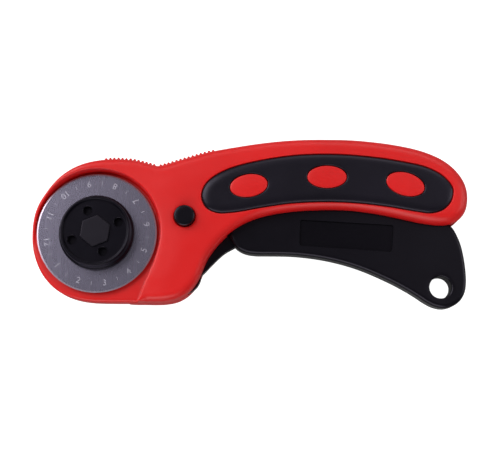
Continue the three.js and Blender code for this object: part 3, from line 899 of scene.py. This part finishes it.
def front_shell():
    side = low_side_of(RECESS, RECESS_AREA)
    lock_rims = [circle(LOCK_AT, LOCK_HOLE_R + d, 0.3) for d in (-0.3, 0, 0.06, 0.16, 0.3, 0.5)]
    at, faces = shell_samples(step_lines(RECESS, side), [*pocket_loops(), *lock_rims])
    seam = np.full(len(at), SPLIT + SEAM)
    shell = relief("front_shell_moulding", at, faces, front_height(at), seam, wall_shape, WALL_LEVELS)

    shallow, deep = (SPLIT - 1, HEAD_ROOM[1]), (SPLIT - 0.9, BODY_TOP - GRIP_WALL)
    room = inner_room(beside(RECESS, -side * RECESS_WALL), [HEAD_FAR], shallow, deep)
    round_holes = (LOCK_AT, LOCK_R + 2), (PIVOT_AT, PIN_BOSS_R)
    bosses = [disc(centre, r, HEAD_ROOM[1], BODY_TOP) for centre, r in round_holes]
    bosses += [disc(centre, SCREW_BOSS_R, SPLIT - 2, BODY_TOP) for centre, _, _ in screws()]
    holes = [disc(LOCK_AT, LOCK_HOLE_R, 5, BODY_TOP + 4), disc(PIVOT_AT, PIN_R + RUN, 5, PIN_HIGH + 0.1)]
    holes += [disc(centre, SCREW_R + RUN, 5, tip + 0.3) for centre, _, tip in screws()]
    hollowed(shell, "front_shell", room, bosses, holes)


def rear_height(p):
    """Height of the rear shell's face: thin head, handle, button's scoop and pocket."""
    depth = np.maximum(depth_in(p, BODY), 0)
    into = past_line(p, BACK_STEP, HEAD_AREA)
    foot = HEAD_BACK + rounding(depth, EDGE_FLOOR) - rounding(into, FOOT)
    low = rounding(depth, edge_radius(p, depth + 4))
    height = stepped(into, foot, np.minimum(low + CREST, foot), low + rounding(-into - DRAFT, CREST))
    scoop = SCOOP_DEEP * (1 - smoothstep(np.hypot(*(p - LOCK_AT).T), *LOCK_SCOOP))
    return pocketed(p, np.maximum(height, scoop), POCKET, 0.15, 0, 1)


def rear_shell():
    side = low_side_of(BACK_STEP, HEAD_AREA)
    scoop = [circle(LOCK_AT, r, 0.5) for r in (LOCK_SCOOP[0], 3.9, 4.5, 5.1, 5.7, 6.2, LOCK_SCOOP[1])]
    at, faces = shell_samples(step_lines(BACK_STEP, side), [*pocket_loops(), *scoop])
    seam = np.full(len(at), SPLIT - SEAM)
    levels = [1 - level for level in reversed(WALL_LEVELS)]
    shell = relief("rear_shell_moulding", at, faces, seam, rear_height(at), wall_shape, levels)

    shallow, deep = (HEAD_ROOM[0], SPLIT + 1), (GRIP_WALL, SPLIT + 0.9)
    corners = [HEAD_FAR, HEAD_FAR * (1, -1)]
    room = inner_room(beside(BACK_STEP, -side * BACK_WALL), corners, shallow, deep)
    bosses = [disc(centre, r, 0, HEAD_ROOM[0]) for centre, r in ((LOCK_AT, 6.2), (PIVOT_AT, PIN_BOSS_R))]
    bosses += [disc(centre, SCREW_BOSS_R, 0, SPLIT + 2) for centre, _, _ in screws()]
    holes = [
        disc(LOCK_AT, LOCK_END_R + RUN, -1, 8),
        disc(PIVOT_AT, PIN_R + RUN, PIN_LOW - 0.1, 12),
        prism(swept(circle(BLADE_AT, BOLT_ROOM_R), 0), 0, HEAD_ROOM[0] + 0.6),
    ]
    for centre, back, _ in screws():
        holes += [disc(centre, SCREW_R + 0.15, -1, 12), disc(centre, SCREW_HEAD_R + 0.2, -1, back + 2.35)]
    hollowed(shell, "rear_shell", room, bosses, holes)


# ---- the grip inserts ----


def grip_insert(name, node, low, high, edge, drop, facing):
    """A rubber pad with a hole round each oval. Its rounding reaches edge in, and falls by drop."""
    rings = [inset(GRIP, edge * k) for k in (0.03, 0.1, 0.2, 0.34, 0.52, 0.75, 1, 1.1)]
    holes = [inset(oval, -0.2) for oval in OVALS]
    brims = [inset(oval, -0.2 - d) for oval in OVALS for d in (0.08, 0.2, 0.4)]
    at, faces = samples(GRIP, [GRIP, *rings, *holes, *brims], holes)
    depth = np.maximum(depth_in(at, GRIP), 0)
    brim = np.min([np.maximum(-depth_in(at, hole), 0) for hole in holes], axis=0)
    fall = drop * rounding(depth, edge) / edge + rounding(brim, INSERT_EDGE)
    top, bottom = high - fall * (facing > 0), low + fall * (facing < 0)
    pad = relief(name, at, faces, top, bottom, levels=(0, 0.5, 1))
    finish_piece(pad, "housing", RUBBER, "grip_rubber", node)


# ---- the lever ----


def rounded_corners(points, r, steps=6):
    """A polygon with its corners rounded off, r along each side."""
    made = []
    for before, here, after in zip(np.roll(points, 1, axis=0), points, np.roll(points, -1, axis=0)):
        a = here + r * (before - here) / np.hypot(*(before - here))
        b = here + r * (after - here) / np.hypot(*(after - here))
        made += [(1 - t) ** 2 * a + 2 * t * (1 - t) * here + t * t * b for t in np.linspace(0, 1, steps)]
    return even_line(np.array(made), 0.3)


def lever_moulding(panel):
    """The finger part, with its rounded edges, its hang hole and its sunk panel."""
    rings = [inset(TRIGGER, LEVER_EDGE * k) for k in (0.03, 0.09, 0.18, 0.32, 0.5, 0.72, 1, 1.12)]
    hang = [circle(HANG_AT, HANG_R + d, 0.4) for d in (0, 0.05, 0.15, 0.35, 0.6)]
    frames = [panel, inset(panel, PANEL_WALL), inset(panel, -PANEL_WALL)]
    at, faces = samples(TRIGGER, [TRIGGER, *rings, *hang, *frames], hang[:1])
    depth = np.maximum(depth_in(at, TRIGGER), 0)
    brim = np.maximum(np.hypot(*(at - HANG_AT).T) - HANG_R, 0)
    fall = rounding(depth, LEVER_EDGE) + rounding(brim, 0.6)
    sunk = PANEL_DEEP * np.clip(depth_in(at, panel) / PANEL_WALL, 0, 1)
    top, bottom = LEVER_HIGH - fall - sunk, LEVER_LOW + fall
    return relief("lever_moulding", at, faces, top, bottom, levels=np.linspace(0, 1, 6).tolist())


def lever_arm():
    """The arm to the blade, with the seat for the bolt and the post that the spring stands on."""
    arm = prism(arm_outline(), ARM_LOW, ARM_HIGH)
    cut(arm, disc(BLADE_AT, BOLT_SEAT_R, ARM_LOW, low_of("blade")[2] - RUN), "UNION")
    spring = middle_of("return_spring")
    post = prism(circle((0, 0), 2), -3.5, 3.5)
    post.data.transform(Matrix.Rotation(math.pi / 2, 4, "X"))
    post.data.transform(Matrix.Translation(Vector((spring[0], low_of("return_spring")[1], spring[2])) * MM))
    cut(arm, post, "UNION")
    return arm


def lever():
    panel = rounded_corners(PANEL, 0.9)
    piece = lever_moulding(panel)
    cut(piece, lever_arm(), "UNION")
    slot = hole_at("trigger_lever", IN_ARM, LOCK_AT)
    cut(piece, joined([
        disc(BLADE_AT, BORE_R + RUN, 0, 20),
        disc(PIVOT_AT, PIN_R + RUN, 0, 20),
        prism(even_line(slot, 0.4), 0, 12),
    ]))
    tidy(piece)
    finish_piece(piece, "lever", BLACK, "black_plastic", "trigger_lever")
    floor_at = LEVER_HIGH - 1.1 * PANEL_DEEP
    second_coat(piece, PANEL_BLACK, lambda p: inside(p[:, :2], panel) & (p[:, 2] > floor_at))


# ---- the blade and what holds it ----


def at_polar(centre, r, degrees):
    angle = math.radians(degrees)
    return np.array(centre)[:2] + r * np.array([math.cos(angle), math.sin(angle)])


def hexagon(r):
    """The corners of a hexagon round the blade's axis, turned as the knob's."""
    return np.array([at_polar(BLADE_AT, r, HEX_TURN + 60 * i) for i in range(6)])


def from_axis(places):
    return np.hypot(*(places[:, :2] - BLADE_AT).T)


def blade():
    low, high = heights("blade")
    middle = (low + high) / 2
    rim, tip = BLADE_R - BEVEL_WIDE, BLADE_R - 0.02
    profile = [
        (BORE_R, low), (rim, low), (tip, middle - 0.01), (tip, middle + 0.01),
        (rim, high), (rim - 0.05, high), (10, high), (BORE_R + 0.05, high), (BORE_R, high - 0.03),
    ]
    piece = turned_solid("blade_disc_ground", profile, BLADE_AT, 256, 4)
    finish_piece(piece, "blade_disc", BLADE, "blade_steel", "blade")
    second_coat(piece, BEVEL, lambda p: from_axis(p) > rim)


def number_mesh(number, angle):
    """A number's thin letters, in mm, where they stand on the blade."""
    text = bpy.data.curves.new("number", "FONT")
    text.body = str(number)
    text.align_x = text.align_y = "CENTER"
    text.size = NUMBER_TALL / 0.7
    text.extrude = 0.012
    holder = placed("number", text)
    bpy.context.view_layer.update()
    mesh = bpy.data.meshes.new_from_object(holder.evaluated_get(bpy.context.evaluated_depsgraph_get()))
    bpy.data.objects.remove(holder)
    place = Vector((*at_polar(BLADE_AT, NUMBERS_R, angle), BLADE_TOP + 0.01))
    mesh.transform(Matrix.Translation(place) @ Matrix.Rotation(math.radians(angle + 90), 4, "Z"))
    return mesh


def tick_mesh(angle):
    """A short stroke, in mm, across the numbers' circle."""
    corners = ((-0.7, -0.25), (0.7, -0.25), (0.7, 0.25), (-0.7, 0.25))  # along the radius, and degrees round
    tick = np.array([at_polar(BLADE_AT, NUMBERS_R + r, angle + a) for r, a in corners])
    solid = prism(tick, BLADE_TOP - 0.002, BLADE_TOP + 0.02)
    solid.data.transform(Matrix.Scale(1 / MM, 4))
    mesh = solid.data.copy()
    bpy.data.objects.remove(solid)
    return mesh


def blade_numbers():
    """A number for each of twelve stops, with a tick after it."""
    work = bmesh.new()
    for number in range(1, 13):
        angle = FIRST_NUMBER_AT + 30 * (number - 1)
        for mesh in (number_mesh(number, angle), tick_mesh(angle + 15)):
            work.from_mesh(mesh)
            bpy.data.meshes.remove(mesh)
    bmesh.ops.scale(work, vec=(MM,) * 3, verts=work.verts)
    whole = bpy.data.meshes.new("blade_index_numbers")
    work.to_mesh(whole)
    work.free()
    finish_piece(placed("blade_index_numbers", whole), "blade_disc", MARKS, "blade_steel")


def knob():
    low, high = heights("blade_nut")
    r = half_width("blade_nut")
    face = high - 0.8
    rim = [
        (0.4, low), (0.1, low + 0.12), (0, low + 0.4), (0, low + 1.1), (0.12, low + 1.38), (0.42, low + 1.6),
        (0.68, low + 1.9), (0.82, low + 2.4), (0.98, high - 0.6), (1.08, high - 0.22), (1.3, high - 0.03),
        (1.55, high), (1.85, high - 0.03), (2.05, high - 0.2), (2.15, face + 0.22), (2.28, face + 0.05),
        (2.5, face), (2.65, face), (3.2, face),
    ]  # distance in from the knob's widest, and height
    profile = [(0, low), *[(r - into, z) for into, z in rim], (6.5, face), (3, face), (0, face)]
    piece = turned_solid("blade_knob_moulding", profile, BLADE_AT, 160, 40)

    edge = rounded_corners(hexagon(HEX_R), 0.35, 4)
    rings = [inset(edge, d) for d in (0.05, 0.15, 0.3, 0.42, 1, 2.5)]
    at, faces = flat_mesh([edge, *rings], [], np.array([BLADE_AT]), lambda p: inside(p, edge))
    top = high - 0.05 - rounding(np.maximum(depth_in(at, edge), 0), 0.3)
    cut(piece, relief("boss", at, faces, top, np.full(len(at), face - 0.5)), "UNION")
    foot, over = low + 2.5, face + 1
    pit = [(0, foot), (1.7, foot), (1.7, face - 0.15), (1.88, face + 0.01), (1.9, over), (0, over)]
    for turn, out in HOLES:
        cut(piece, turned_solid("hole", pit, at_polar(BLADE_AT, out, turn), 40))
    cut(piece, disc(BLADE_AT, WASHER_ROOM_R, low - 1, low + 1))
    cut(piece, prism(hexagon(NUT_R + 0.1), low, face - 1))
    tidy(piece, 35)
    finish_piece(piece, "nut", KNOB, "black_plastic", "blade_nut")
    second_coat(piece, KNOB_MARK, lambda p: (p[:, 2] > high - 0.2) & (from_axis(p) < HEX_R))


def steel_turning(name, node, profile, centre, body, steps=96):
    finish_piece(turned_solid(name, profile, centre, steps), body, STEEL, "steel", node)


def button():
    low, high = heights("lock_button")
    stem_low, stem_high = 10.6, 14.2  # the thick stretch of the stem
    profile = [
        (0, low), (0.85, low), (1, low + 0.15), (1, stem_low), (1.8, stem_low), (1.8, stem_high),
        (LOCK_R, stem_high), (LOCK_R, high - 0.62), (LOCK_R - 0.1, high - 0.3), (LOCK_R - 0.34, high - 0.08),
        (LOCK_R - 0.62, high), (2, high), (0, high),
    ]
    cap = turned_solid("lock_button_moulding", profile, LOCK_AT, 72, 30)
    groove = np.array([[-0.05, 0.4], [0.05, 0.4], [0.05, LOCK_R + 1], [-0.05, LOCK_R + 1]])
    for side in (-1, 1):
        cut(cap, prism(LOCK_AT + groove * (1, side), high - 0.05, high + 1))
    tidy(cap, 30)
    finish_piece(cap, "lock", BLACK, "black_plastic", "lock_button")


def button_end():
    low, high = heights("lock_button_end")
    profile = [
        (0, low), (2.3, low), (2.65, low + 0.1), (LOCK_END_R, low + 0.4), (LOCK_END_R, high), (1.05, high),
        (1.05, low + 0.75), (0, low + 0.75),
    ]
    piece = turned_solid("lock_button_end_disc", profile, LOCK_AT, 64)
    finish_piece(piece, "lock", BLACK, "black_plastic", "lock_button_end")


def bolt():
    low, high = heights("blade_bolt")
    head, r = low + 1.3, BORE_R - RUN
    profile = [
        (0, low + 0.25), (3.4, low + 0.25), (3.7, low), (5.5, low), (5.85, low + 0.14), (6, low + 0.45),
        (6, head), (r, head), (r, high - 0.5), (r - 0.5, high), (0, high),
    ]
    steel_turning("blade_bolt_turned", "blade_bolt", profile, BLADE_AT, "lever")


def washers():
    low, high = heights("bolt_washer")
    flat = [(4.05, low), (6.8, low), (6.9, low + 0.1), (6.9, high - 0.1), (6.8, high), (4.05, high)]
    steel_turning("bolt_washer_pressed", "bolt_washer", flat, BLADE_AT, "lever")
    low, high = heights("spring_washer")
    cone = [(4.15, high - 0.3), (7.6, low), (7.6, low + 0.3), (4.15, high)]
    steel_turning("spring_washer_pressed", "spring_washer", cone, BLADE_AT, "nut_washer")


def insert_nut():
    low, high = heights("nut_insert")
    piece = prism(hexagon(NUT_R), low, high, "nut_insert_hexagon")
    under, over = low - 0.1, high + 0.1
    chamfers = [(0, under), (5.3, under), (6.3, low + 0.5), (6.3, high - 0.5), (5.3, over), (0, over)]
    cut(piece, turned_solid("cone", chamfers, BLADE_AT, 64), "INTERSECT")
    cut(piece, disc(BLADE_AT, BORE_R, low - 1, high + 1))
    tidy(piece)
    finish_piece(piece, "nut", STEEL, "steel", "nut_insert")


# ---- pivot, spring and screws ----


def pivot_pin():
    end_r = PIN_R - 0.25
    profile = [
        (0, PIN_LOW), (end_r, PIN_LOW), (PIN_R, PIN_LOW + 0.25), (PIN_R, PIN_HIGH - 0.25), (end_r, PIN_HIGH),
        (0, PIN_HIGH),
    ]
    steel_turning("pivot_pin_turned", "pivot_pin", profile, PIVOT_AT, "housing", 64)


def return_spring():
    """A wound wire whose upper end bears on the housing and lower end on the lever. It is one rigid piece on no
    body, so it does not follow the lever.
    """
    low, high, middle = low_of("return_spring"), high_of("return_spring"), middle_of("return_spring")
    wire, turns, around, per_turn = 0.38, 7, 10, 28
    margin = 0.4  # of the wire's middle inside the CAD box
    r = half_width("return_spring") - margin
    start, end = low[1] + margin, high[1] - margin
    count = turns * per_turn + 1
    along = np.array([0, 1, 0])
    places, polygons = [], []
    for i in range(count):
        t = i / (count - 1)
        turn = 2 * math.pi * turns * t
        eased = t - 0.09 * math.sin(2 * math.pi * t)  # closer coils at both ends
        axis = np.array([math.cos(turn), 0, math.sin(turn)])
        centre = np.array([middle[0], start + (end - start) * (1 - eased), middle[2]]) + r * axis
        for k in range(around):
            a = 2 * math.pi * k / around
            places.append(centre + wire * (math.cos(a) * axis + math.sin(a) * along))
        if i:
            here = [(i - 1) * around + k for k in range(around)]
            polygons += [(a, b, b + around, a + around) for a, b in zip(here, here[1:] + here[:1])]
    polygons += [tuple(range(around))[::-1], tuple(range((count - 1) * around, count * around))]
    piece = to_object("return_spring_wound", places, polygons, 60)
    finish_piece(piece, None, STEEL, "steel", "return_spring")
    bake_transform(piece)


def shell_screw(name):
    """A pan-head screw with a cross recess and a thread."""
    low, high = heights(name)
    centre = middle_of(name)[:2]
    under = low + SCREW_HEAD_TALL
    thread, z = [], under + 0.9
    while z < high - 1.1:
        thread += [(0.8, z), (SCREW_R, z + 0.2), (0.8, z + 0.4)]
        z += 0.5
    profile = [
        (0, low), (0.9, low), (1.5, low + 0.12), (1.85, low + 0.38), (SCREW_HEAD_R, low + 0.7),
        (SCREW_HEAD_R, under), (SCREW_R, under), (SCREW_R, under + 0.6), *thread,
        (0.75, high - 0.8), (0, high),
    ]
    piece = turned_solid(f"{name}_threaded", profile, centre, 40)
    slot = np.array([[-1.15, -0.24], [1.15, -0.24], [1.15, 0.24], [-1.15, 0.24]])
    for turn in (0.3, math.pi / 2 + 0.3):
        cut(piece, prism(turned(slot, np.zeros(2), turn) + centre, low - 1, low + 0.85))
    tidy(piece)
    finish_piece(piece, "housing", STEEL, "steel", name)


# ---- floor, lights and camera ----


def floor():
    """A plain pale floor that the cutter lies on, which the camera sees as white."""
    size = 3
    mesh = bpy.data.meshes.new("floor")
    corners = [(-size, -size, 0), (size, -size, 0), (size, size, 0), (-size, size, 0)]
    mesh.from_pydata(corners, [], [(0, 1, 2, 3)])
    made = placed("floor", mesh)
    made.location.z = cad_box[0][2] - 0.0002
    pale, paler = (FLOOR_PALE,) * 3, (FLOOR_PALE + 0.02,) * 3
    sockets = {"Specular_IOR_Level": 0.1, "Emission_Color": (1, 1, 1, 1)}
    coat, tree, shader = material("pale_floor", pale, 0.9, **sockets)
    tree.links.new(tint(tree, noise(tree, 60), pale, paler), shader.inputs["Base Color"])
    tree.links.new(node(tree, "LightPath").outputs["Is Camera Ray"], shader.inputs["Emission Strength"])
    mesh.materials.append(coat)


def lamp(name, place, size, power):
    """A soft area light aimed at the cutter, its place and size in metres and its power in watts."""
    light = bpy.data.lights.new(name, "AREA")
    light.shape = "RECTANGLE"
    light.size, light.size_y = size
    light.energy = power
    made = placed(name, light)
    made.location = place
    made.rotation_euler = (-Vector(place)).to_track_quat("-Z", "Y").to_euler()


def sky(level):
    """Even dim light from all round, which the camera sees as white."""
    world = bpy.data.worlds.new("studio")
    world.use_nodes = True
    tree = world.node_tree
    dim = tree.nodes["Background"]
    dim.inputs["Color"].default_value = (1, 1, 1, 1)
    dim.inputs["Strength"].default_value = level
    seen, choose = node(tree, "Background", Strength=1), node(tree, "MixShader")
    tree.links.new(node(tree, "LightPath").outputs["Is Camera Ray"], choose.inputs["Fac"])
    tree.links.new(dim.outputs["Background"], choose.inputs[1])
    tree.links.new(seen.outputs["Background"], choose.inputs[2])
    tree.links.new(choose.outputs["Shader"], tree.nodes["World Output"].inputs["Surface"])
    bpy.context.scene.world = world


def camera():
    """Nearly overhead, from the side of the lever."""
    made = placed("camera", bpy.data.cameras.new("camera"))
    made.data.lens = CAMERA_LENS
    made.data.sensor_width = CAMERA_SENSOR
    aim = Vector((*CAMERA_AIM, middle_of("blade")[2])) * MM
    tilt = math.radians(CAMERA_TILT)
    made.location = aim + CAMERA_FAR * Vector((0, -math.sin(tilt), math.cos(tilt)))
    made.rotation_euler = (tilt, 0, 0)
    bpy.context.scene.camera = made


# ---- the cutter ----

front_shell()
rear_shell()
grip_insert(
    "front_grip_pad", "front_grip_insert", BODY_TOP - POCKET + 0.05, BODY_TOP + INSERT_PROUD, 3.2, 1.0, 1
)
grip_insert("rear_grip_pad", "rear_grip_insert", 0.2, POCKET - 0.05, 1.2, 0.5, -1)
lever()
blade()
blade_numbers()
knob()
button()
button_end()
bolt()
washers()
insert_nut()
pivot_pin()
return_spring()
for screw_name in SCREWS:
    shell_screw(screw_name)

floor()
sky(0.17)
lamp("key", (-0.75, 0.45, 0.75), (0.9, 0.9), 14)
lamp("front", (-0.2, -0.9, 0.55), (1.0, 0.6), 7.3)
lamp("right", (0.95, 0.1, 0.5), (0.6, 0.8), 4)
lamp("back", (0.3, 0.95, 0.6), (1.0, 0.6), 4)
lamp("over", (0.42, 0.22, 1.05), (0.5, 0.5), 0.5)
camera()
bpy.context.scene.view_settings.view_transform = "Standard"
